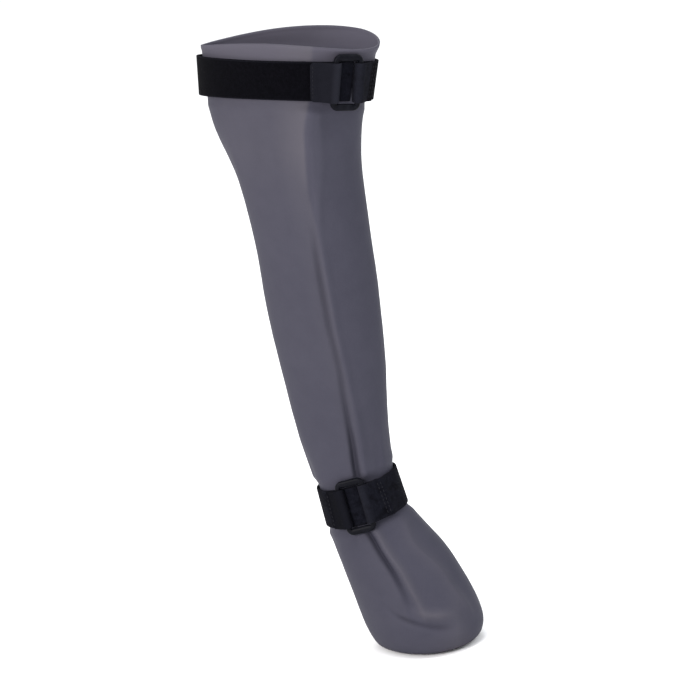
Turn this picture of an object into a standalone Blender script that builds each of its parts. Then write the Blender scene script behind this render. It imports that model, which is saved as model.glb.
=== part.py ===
"""Dog protective sock: a one-piece silicone sock held on the leg by two hook-and-loop straps.

The sock stands on its sole. +X points to the toe, +Z is up, and the buckles lie on the near side, -Y.
The origin is on the flat sole, under the middle of the leg. Lengths are metres.
"""

from collections import namedtuple
from math import acos, atan2, cos, hypot, pi, radians, sin, tan

import bmesh
import bpy
from mathutils import Vector

MM = 0.001
OBJECT_NAME = "dog_protective_sock"

# ---- sock ----------------------------------------------------------------------------------

SHAFT_WALL = 1.3 * MM
FOOT_WALL = 2.4 * MM
FOOT_TOP = 60 * MM        # the wall has its full foot thickness up to here
SHAFT_START = 120 * MM    # and its shaft thickness from here up

# Level sections of the outer skin, in millimetres. toe_bias widens a section towards the toe.
Section = namedtuple("Section", "height back front half_width toe_bias")
SECTIONS = [
    Section(height=0, back=-8, front=55, half_width=21.0, toe_bias=0.22),     # flat sole
    Section(height=2, back=-11, front=60, half_width=26.0, toe_bias=0.22),
    Section(height=6, back=-13.5, front=64, half_width=29.5, toe_bias=0.22),
    Section(height=14, back=-17, front=66, half_width=32.0, toe_bias=0.22),   # heel and toe
    Section(height=28, back=-20, front=63, half_width=33.0, toe_bias=0.20),   # ball
    Section(height=44, back=-23, front=57, half_width=32.0, toe_bias=0.16),
    Section(height=62, back=-27, front=48, half_width=30.0, toe_bias=0.10),   # instep
    Section(height=80, back=-30, front=35, half_width=27.0, toe_bias=0.05),
    Section(height=98, back=-32, front=22, half_width=24.5, toe_bias=0.0),    # ankle strap
    Section(height=116, back=-34, front=19, half_width=23.5, toe_bias=0.0),   # narrowest
    Section(height=150, back=-42, front=21, half_width=25.0, toe_bias=0.0),
    Section(height=195, back=-47, front=27.2, half_width=27.0, toe_bias=0.0),   # leg
    Section(height=240, back=-49, front=31, half_width=30.0, toe_bias=0.0),
    Section(height=290, back=-49, front=32.4, half_width=32.0, toe_bias=0.0),
    Section(height=330, back=-53, front=34.6, half_width=34.0, toe_bias=0.0),
    Section(height=365, back=-64, front=43.5, half_width=36.0, toe_bias=0.0),   # elbow
    Section(height=388, back=-65, front=55.5, half_width=37.5, toe_bias=0.0),   # collar strap
    Section(height=404, back=-64, front=60.2, half_width=38.5, toe_bias=0.0),   # flared edge
    Section(height=420, back=-62, front=66, half_width=39.0, toe_bias=0.0),
]
ROWS_PER_SECTION = 3
COLUMNS = 40
SOLE_RINGS = 3

RIM_HEIGHT = 411 * MM     # of the collar's edge over the shaft's middle
RIM_SLOPE = radians(5)    # the edge drops towards the front
RIM_CROWN = 7 * MM        # rises on both sides
RIM_TWIST = 3 * MM        # and is higher on the near side than on the far side
RIM_START = 300 * MM      # rows below this are level
FLARE = 6 * MM            # the edge turns out above its strap
FLARE_START = 399 * MM
FLARE_TURN = radians(50)  # most of all here, on the far side of the front

# ---- straps --------------------------------------------------------------------------------

WEBBING = 1.6 * MM        # thickness of the band and of the tab
GAP = 0.3 * MM            # between pieces that touch
PILE = 0.5 * MM           # between the hooks' backing and the loops' backing
STRAP_WIDTH = 26 * MM
BAR_RADIUS = 1.8 * MM
BAR_SPREAD = 7.5 * MM     # from the middle of the buckle to each long bar
BUCKLE_HALF_HEIGHT = 16.7 * MM
BUCKLE_CORNER = 3.0 * MM
SEWN_END = 19 * MM        # how far the band's sewn end lies back under it
FLAP_END = 4.2 * MM       # the band's other end covers the leg under the buckle's opening
TAB_SEAM = radians(-28)   # where the tab starts round its bar

# x and z are the middle of the strap's loop. lean tips the strap's axis forwards, and
# side_lean tips it away from the near side, whose edge is then the higher one. buckle_turn is
# the buckle's place round the leg, from the front over the near side. slack is the room
# behind the leg. follow is 1 where the webbing lies along the slope of the leg's front and
# back, and 0 where it stands straight.
Strap = namedtuple("Strap", "name x z lean side_lean buckle_turn slack follow tab_end step")
STRAPS = [
    Strap(name="collar", x=-6 * MM, z=390.5 * MM, lean=radians(5.5), side_lean=radians(11),
          buckle_turn=radians(20), slack=2 * MM, follow=0.5, tab_end=22 * MM, step=4.0 * MM),
    Strap(name="ankle", x=-7 * MM, z=104.5 * MM, lean=radians(-7.5), side_lean=radians(-3),
          buckle_turn=radians(66), slack=0, follow=1.0, tab_end=19 * MM, step=4.5 * MM),
]
LOOP_POINTS = 240
LEVELS_ACROSS = 7

FIRST_LAYER = GAP + WEBBING / 2                # height of a layer's middle above the leg
SECOND_LAYER = FIRST_LAYER + WEBBING + PILE
WRAP_RADIUS = BAR_RADIUS + GAP + WEBBING / 2
BAR_HEIGHT = FIRST_LAYER + WRAP_RADIUS
LAYER_MEETS = 16 * MM                          # where a wrapped end comes down onto its band
WRAP_STEPS = 9

# ---- colours -------------------------------------------------------------------------------

Finish = namedtuple("Finish", "name colour roughness")
SILICONE = Finish("silicone", (0.105, 0.100, 0.130), 0.45)
LOOP_WEBBING = Finish("loop_webbing", (0.006, 0.006, 0.009), 0.95)
HOOK_WEBBING = Finish("hook_webbing", (0.015, 0.016, 0.023), 0.80)
BUCKLE_PLASTIC = Finish("buckle_plastic", (0.014, 0.014, 0.018), 0.35)


def clear_scene():
    for old in list(bpy.data.objects):
        bpy.data.objects.remove(old, do_unlink=True)


def make_material(finish):
    material = bpy.data.materials.new(finish.name)
    material.use_nodes = True
    shader = material.node_tree.nodes["Principled BSDF"]
    shader.inputs["Base Color"].default_value = (*finish.colour, 1.0)
    shader.inputs["Roughness"].default_value = finish.roughness
    shader.inputs["Metallic"].default_value = 0.0
    return material


def add_object(collection, name, data, material):
    data.materials.append(material)
    made = bpy.data.objects.new(name, data)
    collection.objects.link(made)
    return made


def add_mesh_object(collection, name, bm, material):
    mesh = bpy.data.meshes.new(name)
    bm.to_mesh(mesh)
    bm.free()
    return add_object(collection, name, mesh, material)


# ---- the leg form that the sock and the straps share ----------------------------------------


def section_at(z):
    """The outer skin's back, front, half width and toe bias at height z, smooth between rows."""
    height = z / MM
    last = len(SECTIONS) - 2
    below = sum(1 for section in SECTIONS[1:-1] if section.height <= height)
    below = min(below, last)
    low, high = SECTIONS[below], SECTIONS[below + 1]
    before = SECTIONS[max(below - 1, 0)]
    after = SECTIONS[min(below + 2, len(SECTIONS) - 1)]
    span = high.height - low.height
    t = (height - low.height) / span
    values = []
    for column in ("back", "front", "half_width", "toe_bias"):
        a, b = getattr(low, column), getattr(high, column)
        slope_a = (b - getattr(before, column)) / (high.height - before.height) * span
        slope_b = (getattr(after, column) - a) / (after.height - low.height) * span
        values.append(
            (2 * t**3 - 3 * t**2 + 1) * a
            + (t**3 - 2 * t**2 + t) * slope_a
            + (3 * t**2 - 2 * t**3) * b
            + (t**3 - t**2) * slope_b
        )
    back, front, half_width, toe_bias = values
    return back * MM, front * MM, half_width * MM, toe_bias


def flare_at(z, turn):
    """How far the collar's edge turns out beyond its section, on the far side of the front."""
    share = max(0.0, min(1.0, (z - FLARE_START) / (RIM_HEIGHT - FLARE_START)))
    return FLARE * share * max(0.0, cos(turn - FLARE_TURN)) ** 4


def skin_point(z, turn):
    """A point of the outer skin at height z. turn is 0 at the front and grows towards +Y."""
    back, front, half_width, toe_bias = section_at(z)
    x = (back + front) / 2 + (front - back) / 2 * cos(turn)
    y = half_width * sin(turn) * (1 + toe_bias * cos(turn))
    flare = flare_at(z, turn)
    return Vector((x + flare * cos(turn), y + flare * sin(turn), z))


def inside_skin(point):
    back, front, half_width, toe_bias = section_at(point.z)
    along = (point.x - (back + front) / 2) / ((front - back) / 2)
    across = point.y / (half_width * (1 + toe_bias * max(-1.0, min(1.0, along))))
    return hypot(along, across) < 1


def rim_height(turn):
    """Height of the collar's edge at a turn round it."""
    edge = skin_point(RIM_HEIGHT, turn)
    middle = (skin_point(RIM_HEIGHT, 0).x + skin_point(RIM_HEIGHT, pi).x) / 2
    drop = tan(RIM_SLOPE) * (edge.x - middle) + RIM_TWIST * sin(turn)
    return RIM_HEIGHT - drop + RIM_CROWN * sin(turn) ** 2


# ---- sock ----------------------------------------------------------------------------------


def row_heights():
    """Heights of the skin's rows over the shaft's middle, from the sole's edge to the collar."""
    heights = []
    for low, high in zip(SECTIONS[:-2], SECTIONS[1:-1]):
        for step in range(ROWS_PER_SECTION):
            share = step / ROWS_PER_SECTION
            heights.append((low.height + (high.height - low.height) * share) * MM)
    return heights + [RIM_HEIGHT]


def stretch_to_rim(height, turn):
    """Moves a row near the collar so that the top row follows the sloping edge."""
    if height <= RIM_START:
        return height
    share = (height - RIM_START) / (RIM_HEIGHT - RIM_START)
    return RIM_START + share * (rim_height(turn) - RIM_START)


def wall_share(z):
    """1 where the wall has its foot thickness, 0 where it has its shaft thickness."""
    return max(0.0, min(1.0, (SHAFT_START - z) / (SHAFT_START - FOOT_TOP)))


def bridge_rows(bm, lower, upper):
    for i in range(len(lower)):
        j = (i + 1) % len(lower)
        bm.faces.new((lower[i], lower[j], upper[j], upper[i]))


def make_sock(collection, material):
    """The outer skin, from the middle of the sole up to the collar, given its wall inwards."""
    turns = [2 * pi * i / COLUMNS for i in range(COLUMNS)]
    bm = bmesh.new()
    sole_edge = [skin_point(0.0, turn) for turn in turns]
    middle = sum(sole_edge, Vector()) / COLUMNS
    centre = bm.verts.new(middle)
    rows = []
    for ring in range(1, SOLE_RINGS + 1):
        share = ring / SOLE_RINGS
        rows.append([bm.verts.new(middle.lerp(point, share)) for point in sole_edge])
    for height in row_heights()[1:]:
        row = [skin_point(stretch_to_rim(height, turn), turn) for turn in turns]
        rows.append([bm.verts.new(point) for point in row])
    for i in range(COLUMNS):
        bm.faces.new((centre, rows[0][(i + 1) % COLUMNS], rows[0][i]))
    for lower, upper in zip(rows, rows[1:]):
        bridge_rows(bm, lower, upper)
    bm.verts.index_update()
    shares = [wall_share(vert.co.z) for vert in bm.verts]
    sock = add_mesh_object(collection, "sock", bm, material)
    group = sock.vertex_groups.new(name="foot_wall")
    for index, share in enumerate(shares):
        group.add([index], share, "REPLACE")
    wall = sock.modifiers.new("wall", "SOLIDIFY")
    wall.thickness = FOOT_WALL
    wall.offset = -1
    wall.use_even_offset = True
    wall.vertex_group = group.name
    wall.thickness_vertex_group = SHAFT_WALL / FOOT_WALL
    sock.data.shade_smooth()
    return sock


# ---- straps --------------------------------------------------------------------------------


def spread(start, end, count):
    return [start + (end - start) * i / (count - 1) for i in range(count)]


class StrapLoop:
    """The line that a strap's middle lies on round the leg, with the webbing's way up there.

    It starts under the middle of the buckle, and distance along it grows towards the front.
    """

    def __init__(self, strap):
        self.axis = Vector((tan(strap.lean), tan(strap.side_lean), 1)).normalized()
        self.forward = Vector((1, 0, -tan(strap.lean))).normalized()
        self.near = self.forward.cross(self.axis)
        self.centre = Vector((strap.x, 0, strap.z))
        self.points = []
        self.ups = []
        for i in range(LOOP_POINTS):
            turn = strap.buckle_turn - 2 * pi * i / LOOP_POINTS
            out = self.forward * cos(turn) + self.near * sin(turn)
            levels = spread(-STRAP_WIDTH / 2, STRAP_WIDTH / 2, LEVELS_ACROSS)
            reaches = [self.leg_reach(out, level) for level in levels]
            follow = strap.follow * cos(turn) ** 2 + sin(turn) ** 2
            slope = (reaches[-1] - reaches[0]) / STRAP_WIDTH * follow
            reach = max(reach - slope * level for reach, level in zip(reaches, levels))
            reach += strap.slack * ((1 - cos(turn)) / 2) ** 2
            self.points.append(self.centre + out * reach)
            self.ups.append(self.axis + out * slope)
        self.starts = [0.0]
        for here, there in zip(self.points, self.points[1:] + self.points[:1]):
            self.starts.append(self.starts[-1] + (there - here).length)
        self.length = self.starts[-1]
        self.place_bars()

    def leg_reach(self, out, level):
        """How far the leg form comes out this way, at a level above the strap's middle."""
        near, far = 0.0, 100 * MM
        for _ in range(24):
            reach = (near + far) / 2
            if inside_skin(self.centre + self.axis * level + out * reach):
                near = reach
            else:
                far = reach
        return near

    def directions(self, distance):
        """The point at a distance along the loop, with the tangent, the way up and the way out."""
        distance %= self.length
        i = sum(1 for start in self.starts[1:-1] if start <= distance)
        following = (i + 1) % LOOP_POINTS
        here, there = self.points[i], self.points[following]
        share = (distance - self.starts[i]) / (self.starts[i + 1] - self.starts[i])
        before = self.points[i - 1]
        after = self.points[(i + 2) % LOOP_POINTS]
        tangent = (there - before).normalized().lerp((after - here).normalized(), share)
        tangent.normalize()
        up = self.ups[i].lerp(self.ups[following], share)
        up = (up - tangent * up.dot(tangent)).normalized()
        return here.lerp(there, share), tangent, up, tangent.cross(up)

    def lifted(self, distance, height):
        """The webbing's lower and upper edges at a distance, raised off the leg."""
        point, _, up, out = self.directions(distance)
        middle = point + out * height
        return middle - up * (STRAP_WIDTH / 2), middle + up * (STRAP_WIDTH / 2)

    def place_bars(self):
        """The middles of the buckle's two long bars, and the one way up that both bars share."""
        self.bars = {}
        ups = Vector()
        for side in (-1, 1):
            point, _, up, out = self.directions(side * BAR_SPREAD)
            self.bars[side] = point + out * BAR_HEIGHT
            ups += up
        self.across = (self.bars[1] - self.bars[-1]).normalized()
        self.bar_up = (ups - self.across * ups.dot(self.across)).normalized()

    def around_bar(self, side, angle):
        """Both edges of the webbing round a long bar. angle 0 faces the front, pi/2 out."""
        _, tangent, _, out = self.directions(side * BAR_SPREAD)
        way = tangent * cos(angle) + out * sin(angle)
        way = (way - self.bar_up * way.dot(self.bar_up)).normalized()
        middle = self.bars[side] + way * WRAP_RADIUS
        half = self.bar_up * (STRAP_WIDTH / 2)
        return middle - half, middle + half


def leave_angle():
    """Where a wrap leaves its bar in a straight line down to the layer that it meets."""
    along = LAYER_MEETS - BAR_SPREAD
    down = BAR_HEIGHT - SECOND_LAYER
    return acos(WRAP_RADIUS / hypot(along, down)) - atan2(down, along)


def band_path(strap, loop):
    """From under the buckle, once round the leg, over the front bar and back beneath it."""
    lap_over = SEWN_END + 8 * MM
    count = int((loop.length - lap_over + FLAP_END) / strap.step)
    around = spread(FLAP_END, lap_over - loop.length, count)
    path = [loop.lifted(s, FIRST_LAYER) for s in around]
    path.append(loop.lifted(SEWN_END + 1.5 * MM, SECOND_LAYER))
    path.append(loop.lifted(LAYER_MEETS, SECOND_LAYER))
    path += [loop.around_bar(1, a) for a in spread(leave_angle(), 1.5 * pi, WRAP_STEPS)]
    path += [loop.lifted(s, FIRST_LAYER) for s in spread(BAR_SPREAD + 4 * MM, SEWN_END, 3)]
    return path


def tab_path(strap, loop):
    """From inside the buckle, over the back bar and down onto the band."""
    turns = spread(TAB_SEAM, pi - leave_angle(), WRAP_STEPS)
    path = [loop.around_bar(-1, turn) for turn in turns]
    path += [loop.lifted(-s, SECOND_LAYER) for s in spread(LAYER_MEETS, strap.tab_end, 2)]
    return path


def make_webbing(collection, name, path, material):
    """A strip of webbing between the lower and upper edges of its wall's middle."""
    bm = bmesh.new()
    edges = [(bm.verts.new(low), bm.verts.new(high)) for low, high in path]
    for (low, high), (next_low, next_high) in zip(edges, edges[1:]):
        bm.faces.new((low, next_low, next_high, high))
    strip = add_mesh_object(collection, name, bm, material)
    wall = strip.modifiers.new("webbing", "SOLIDIFY")
    wall.thickness = WEBBING
    wall.offset = 0
    wall.use_even_offset = True
    return strip


def make_buckle(collection, name, loop, material):
    """A closed loop of round bar, with two long bars for the band and the tab."""
    middle = (loop.bars[1] + loop.bars[-1]) / 2
    half_width = (loop.bars[1] - loop.bars[-1]).length / 2
    corners = [(1, 1), (-1, 1), (-1, -1), (1, -1)]
    points = []
    for quarter, (side, end) in enumerate(corners):
        for angle in spread(quarter * pi / 2, (quarter + 1) * pi / 2, 4):
            x = side * (half_width - BUCKLE_CORNER) + BUCKLE_CORNER * cos(angle)
            y = end * (BUCKLE_HALF_HEIGHT - BUCKLE_CORNER) + BUCKLE_CORNER * sin(angle)
            points.append(middle + loop.across * x + loop.bar_up * y)
    curve = bpy.data.curves.new(name, "CURVE")
    curve.dimensions = "3D"
    curve.bevel_depth = BAR_RADIUS
    curve.bevel_resolution = 2
    spline = curve.splines.new("POLY")
    spline.points.add(len(points) - 1)
    for spline_point, point in zip(spline.points, points):
        spline_point.co = (*point, 1.0)
    spline.use_cyclic_u = True
    return add_object(collection, name, curve, material)


def main():
    clear_scene()
    collection = bpy.data.collections.new(OBJECT_NAME)
    bpy.context.scene.collection.children.link(collection)
    silicone = make_material(SILICONE)
    loop_webbing = make_material(LOOP_WEBBING)
    hook_webbing = make_material(HOOK_WEBBING)
    plastic = make_material(BUCKLE_PLASTIC)

    make_sock(collection, silicone)
    for strap in STRAPS:
        loop = StrapLoop(strap)
        band = band_path(strap, loop)
        tab = tab_path(strap, loop)
        make_buckle(collection, f"{strap.name}_buckle", loop, plastic)
        make_webbing(collection, f"{strap.name}_strap", band, loop_webbing)
        make_webbing(collection, f"{strap.name}_tab", tab, hook_webbing)


main()
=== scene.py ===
"""Dog protective sock: the finished look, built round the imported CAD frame. Lengths are metres.

+X points to the toe, +Z is up, and the buckles lie on the near side, -Y.
"""

from collections import namedtuple
from math import acos, atan2, cos, hypot, pi, radians, sin, tan

import bmesh
import bpy
import numpy as np
from mathutils import Matrix, Vector, noise


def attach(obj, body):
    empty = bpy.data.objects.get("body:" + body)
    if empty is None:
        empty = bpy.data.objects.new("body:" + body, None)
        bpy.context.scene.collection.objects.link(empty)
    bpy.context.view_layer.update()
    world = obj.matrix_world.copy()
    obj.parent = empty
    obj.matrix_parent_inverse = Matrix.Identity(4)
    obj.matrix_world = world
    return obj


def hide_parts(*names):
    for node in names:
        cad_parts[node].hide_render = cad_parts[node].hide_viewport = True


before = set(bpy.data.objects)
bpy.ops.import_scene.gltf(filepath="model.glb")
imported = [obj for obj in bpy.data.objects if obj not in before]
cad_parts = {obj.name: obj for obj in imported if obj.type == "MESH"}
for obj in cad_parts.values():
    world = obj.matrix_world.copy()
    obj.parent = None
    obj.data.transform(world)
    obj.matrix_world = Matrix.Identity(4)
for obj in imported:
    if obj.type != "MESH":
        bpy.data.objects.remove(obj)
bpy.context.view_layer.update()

MM = 0.001

# ---- sizes of the sock ---------------------------------------------------------------------

SHAFT_WALL = 1.3 * MM
FOOT_WALL = 2.4 * MM
FOOT_TOP = 60 * MM        # the wall has its full foot thickness up to here
SHAFT_START = 120 * MM    # and its shaft thickness from here

# Level sections of the outer skin, in millimetres. toe_bias widens a section towards the toe.
Section = namedtuple("Section", "height back front half_width toe_bias", defaults=(0.0,))
SECTIONS = [
    Section(0, -8, 55, 21.0, toe_bias=0.22),       # flat sole
    Section(2, -11, 60, 26.0, toe_bias=0.22),
    Section(6, -13.5, 64, 29.5, toe_bias=0.22),
    Section(14, -17, 66, 32.0, toe_bias=0.22),     # heel and toe
    Section(28, -20, 63, 33.0, toe_bias=0.20),     # ball
    Section(44, -23, 57, 32.0, toe_bias=0.16),
    Section(62, -27, 48, 30.0, toe_bias=0.10),     # instep
    Section(80, -30, 35, 27.0, toe_bias=0.05),
    Section(98, -32, 22, 24.5),                    # ankle strap
    Section(116, -34, 19, 23.5),                   # narrowest
    Section(150, -42, 21, 25.0),
    Section(195, -47, 27.2, 27.0),                 # leg
    Section(240, -49, 31, 30.0),
    Section(290, -49, 32.4, 32.0),
    Section(330, -53, 34.6, 34.0),
    Section(365, -64, 43.5, 36.0),                 # elbow
    Section(388, -65, 55.5, 37.5),                 # collar strap
    Section(404, -64, 60.2, 38.5),                 # flared edge
    Section(420, -62, 66, 39.0),
]

RIM_HEIGHT = 411 * MM     # of the collar's edge over the shaft's middle
RIM_SLOPE = radians(5)    # the edge drops towards the front
RIM_CROWN = 7 * MM        # rises on both sides
RIM_TWIST = 3 * MM        # and is higher on the near side than on the far side
RIM_START = 300 * MM      # rows below this are level
FLARE = 6 * MM            # the edge turns out above its strap
FLARE_START = 399 * MM
FLARE_TURN = radians(50)  # most of all here, on the far side of the front
RIM_BEAD = 0.35 * MM      # the edge's rounded swelling
RIM_BEAD_WIDTH = 1.6 * MM
RIM_HIGHLIGHT_REACH = 22 * MM        # the collar's edge is painted lighter, a painted highlight, down to this far below it

# The wall is painted lighter behind the near side's edge, painted light and sheen on the side
# that faces the light: at each height, in millimetres, the turn in degrees at which that starts,
# and how much there is of it.
LitPanelRow = namedtuple("LitPanelRow", "height turn share")
PAINTED_LIGHT_ROWS = [
    LitPanelRow(height=20, turn=-70, share=0.12), LitPanelRow(height=98, turn=-70, share=0.12),
    LitPanelRow(height=108, turn=-47, share=0.10), LitPanelRow(height=165, turn=-47, share=0.20),
    LitPanelRow(height=206, turn=-54, share=0.28), LitPanelRow(height=290, turn=-56, share=0.34),
    LitPanelRow(height=320, turn=-57.5, share=0.50), LitPanelRow(height=346, turn=-55.5, share=1.00),
    LitPanelRow(height=380, turn=-54, share=1.00),
]
PAINTED_LIGHT_RISE = 8 * MM   # it sets in over this height, above the lowest row
PAINTED_LIGHT_START = 2.5     # and over these degrees behind the edge
PAINTED_LIGHT_TURN = 5        # this many degrees behind the edge it grows less
PAINTED_LIGHT_FADE = 22       # over so many more,
PAINTED_LIGHT_BEYOND = 0.4    # to this share,
PAINTED_LIGHT_END = 65        # and from here it dies out
PAINTED_LIGHT_OUT = 40        # over so many more

COLUMNS = 160
CLOSER_AT = radians(-57)  # columns stand closer together at the near side's fold
CLOSENESS = 0.42
FAR_TURN = radians(60)    # a turn beyond this is counted on from the near side
SOLE_RINGS = 14
FIRST_ROWS = (0.4, 0.9, 1.5, 2.2, 3.1, 4.2, 5.5, 7.0, 8.7)   # millimetres above the sole
ROW_STEP = 1.62 * MM

# ---- folds of the sock ---------------------------------------------------------------------

# A fold follows its points over the skin: height in millimetres, turn in degrees from the toe
# (negative on the near side), half width and lift in millimetres. A crest is a sharp ridge,
# front_spread is how much wider a fold is on its front side than on its back, and the last field
# is how much lighter the fold is painted for each millimetre of lift, a painted highlight.
Fold = namedtuple("Fold", "crest front_spread points pale", defaults=(0.0,))
FOLDS = [
    # the blunt edge between the near side and the front, all the way down the leg
    Fold(True, 1.2, [(398, -51, 16, 0.0), (384, -51, 22, 2.0), (365, -51, 26, 3.8),
                     (340, -51, 26, 4.2), (310, -54, 25, 4.2), (283, -56, 24, 4.2),
                     (247, -56, 22, 4.0), (206, -54, 20, 3.6), (165, -48, 19, 3.1),
                     (124, -47, 16, 2.3), (108, -47, 10, 0.0)]),
    # the bevelled fold under the collar strap, on the near side: its back edge
    Fold(True, 1.0, [(394, -54, 10, 0.4), (384, -54, 11, 1.4), (375, -54, 13, 2.4),
                     (356, -54.5, 14, 2.8), (336, -57.5, 14, 2.6), (321, -60.5, 12, 1.8),
                     (306, -60, 10, 0.8), (288, -60, 9, 0.0)]),
    # and its front edge, which runs on as a narrow ridge down to the ankle strap
    Fold(True, 1.0, [(394, -46, 10, 0.3), (384, -46, 12, 1.0), (373, -46, 13, 1.5),
                     (354, -45, 13, 1.6), (335, -46, 12, 1.5), (315, -51, 7, 1.3),
                     (296, -56, 5, 1.1), (283, -57, 4.6, 1.1), (267, -56.5, 4.6, 1.2),
                     (247, -56.5, 4.6, 1.2), (227, -56.5, 4.6, 1.2), (206, -53.5, 4.6, 1.2),
                     (186, -50.5, 4.6, 1.2), (165, -46.5, 4.8, 1.3), (145, -44.5, 5, 1.4),
                     (124, -46.5, 5, 1.4), (108, -46, 5, 0.0)]),
    # the groove behind the ridge
    Fold(False, 1.0, [(304, -60, 2.2, 0.0), (290, -62, 2.1, -0.9), (272, -63, 2.1, -1.6),
                      (247, -63, 2.1, -1.7), (228, -62.5, 2.1, -1.6), (201, -59.5, 2.1, -1.5),
                      (183, -59, 2.1, -1.6), (162, -57, 2.1, -2.1), (146, -56, 2.2, -3.1),
                      (126, -58, 2.3, -3.4), (106, -59, 2.3, 0.0)]),
    # the same fold over the foot, with its groove behind it; its crest is painted lighter, a
    # painted highlight
    Fold(True, 1.4, [(94, -61, 3.8, 0.0), (86, -60, 3.8, 2.2), (73, -60.5, 4, 2.4),
                     (59, -57.5, 4, 2.5), (48, -56.5, 4, 2.4), (36, -55, 4, 2.0), (30, -55, 4, 1.2),
                     (24, -55, 4, 0.0)], pale=0.25),
    Fold(False, 1.0, [(94, -71, 2.0, 0.0), (86, -70, 2.0, -2.6), (73, -70, 2.0, -2.6),
                      (60, -67.5, 2.0, -2.1), (48, -66, 2.0, -1.4), (38, -66, 2.0, -0.7),
                      (30, -67, 2.0, 0.0)]),
    # the swell along the middle of the toes, and the one above the crease across them, both painted
    # lighter as painted highlights
    Fold(True, 1.0, [(96, -12, 9, 0.0), (86, -18, 10, 1.4), (76, -27, 10, 1.8), (66, -24, 10, 1.8),
                     (54, -16, 10, 1.8), (42, -14, 10, 1.7), (27, -6, 9, 1.1), (18, -4, 8, 0.0)],
         pale=0.17),
    Fold(True, 1.0, [(36, -66, 6, 0.0), (33, -58, 6, 0.6), (30.5, -50, 6, 1.4), (29, -41, 6, 1.4),
                     (28, -32, 6, 0.8), (27, -20, 6, 0.0)], pale=0.55),
    Fold(False, 1.0, [(43, -102, 2.4, 0.0), (38, -91, 2.4, -0.4), (32.5, -86, 2.2, -0.8),
                      (29, -78, 2.2, -1.5), (26, -68, 2.2, -1.4), (23.5, -58, 2.3, -1.2),
                      (21.5, -50, 2.5, -1.3), (20, -41, 2.5, -1.3), (19, -32, 2.5, -0.6),
                      (19, -24, 2.5, 0.0)]),
    # the blunt front of the toes, painted lighter, standing in for light from the floor
    Fold(True, 1.0, [(46, -10, 14, 0.0), (34, -16, 18, 0.6), (22, -24, 22, 1.0),
                     (10, -30, 27, 1.6), (-4, -34, 27, 2.2)], pale=0.36),
    # a pinch below the ankle strap
    Fold(False, 1.0, [(95, -86, 2.4, 0.0), (89, -89, 2.4, -0.7), (82, -93, 2.4, -0.7),
                      (74, -98, 2.4, 0.0)]),
    # tension from the collar strap down the back of the near side
    Fold(False, 1.0, [(376, -88, 7, 0.0), (352, -96, 7, -0.6), (322, -112, 7, 0.0)]),
    Fold(True, 1.0, [(374, -118, 14, 0.0), (350, -126, 14, 0.9), (318, -138, 14, 0.0)]),
    # the far side's long fold
    Fold(True, 1.3, [(384, 62, 11, 1.0), (372, 62, 16, 1.9), (340, 60, 20, 2.6),
                     (270, 58, 13, 2.2), (200, 58, 9, 1.7), (130, 60, 7, 1.6), (108, 60, 7, 0.0)]),
    Fold(False, 1.0, [(240, 68, 2.6, 0.0), (170, 69, 2.8, -1.3), (122, 72, 3, -2.0),
                      (106, 72, 3, 0.0)]),
    Fold(True, 3.0, [(92, 60, 6, 0.0), (80, 58, 6, 1.4), (54, 56, 6, 1.2), (30, 54, 6, 0.0)]),
    Fold(False, 1.0, [(92, 76, 2.4, 0.0), (80, 75, 2.4, -1.8), (56, 72, 2.4, -1.4),
                      (36, 68, 2.4, 0.0)]),
    # pleats that the ankle strap gathers at the back, above it and below it
    Fold(True, 1.0, [(112, 150, 6, 0.0), (124, 151, 6, 1.8), (142, 154, 8, 1.3),
                     (168, 158, 10, 0.0)]),
    Fold(False, 1.0, [(112, 162, 3, 0.0), (122, 163, 3, -1.5), (140, 166, 3.5, -1.0),
                      (160, 170, 4, 0.0)]),
    Fold(True, 1.0, [(112, 175, 6, 0.0), (124, 176, 6, 2.0), (146, 178, 8, 1.4),
                     (176, 180, 10, 0.0)]),
    Fold(False, 1.0, [(112, 188, 3, 0.0), (122, 189, 3, -1.5), (138, 189, 3.5, -1.0),
                      (158, 190, 4, 0.0)]),
    Fold(True, 1.0, [(112, 202, 6, 0.0), (124, 202, 6, 1.7), (140, 201, 8, 1.1),
                     (160, 199, 10, 0.0)]),
    Fold(False, 1.0, [(98, 158, 3, 0.0), (88, 158, 3, -1.4), (72, 156, 3.5, -0.8),
                      (58, 154, 4, 0.0)]),
    Fold(True, 1.0, [(98, 172, 6, 0.0), (88, 172, 6, 1.6), (70, 172, 8, 1.1), (50, 172, 10, 0.0)]),
    Fold(False, 1.0, [(98, 186, 3, 0.0), (88, 186, 3, -1.4), (72, 187, 3.5, -0.8),
                      (56, 188, 4, 0.0)]),
    Fold(True, 1.0, [(98, 200, 6, 0.0), (88, 201, 6, 1.4), (74, 203, 8, 0.8), (60, 204, 8, 0.0)]),
    # faint wrinkles where the instep bends under the ankle strap
    Fold(False, 1.0, [(88, -6, 3, 0.0), (80, 8, 3.5, -0.3), (78, 26, 3.5, -0.3), (82, 44, 3, 0.0)]),
    Fold(True, 1.0, [(122, -14, 6, 0.0), (132, -12, 7, 0.7), (152, -10, 8, 0.5),
                     (174, -8, 10, 0.0)]),
    Fold(False, 1.0, [(122, -26, 3, 0.0), (128, -25, 3, -0.5), (142, -23, 4, -0.3),
                      (156, -22, 4, 0.0)]),
]
CREST_ROUNDING = 0.7 * MM
SWELLS = 0.5 * MM          # slow unevenness of the soft wall
SWELL_LENGTH = 42 * MM
DIMPLES = 0.10 * MM
DIMPLE_LENGTH = 9 * MM
STANDING_FROM = 3 * MM     # the sole's edge stays true up to here,
STANDING_RISE = 9 * MM     # and the relief is full this far above that
STRAP_ROLL = 0.45 * MM     # the wall rolls out this far beside a strap
STRAP_ROLL_AT = 6 * MM     # at this distance from the strap's edge
STRAP_ROLL_WIDTH = 4 * MM

# ---- sizes of the straps -------------------------------------------------------------------

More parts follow.
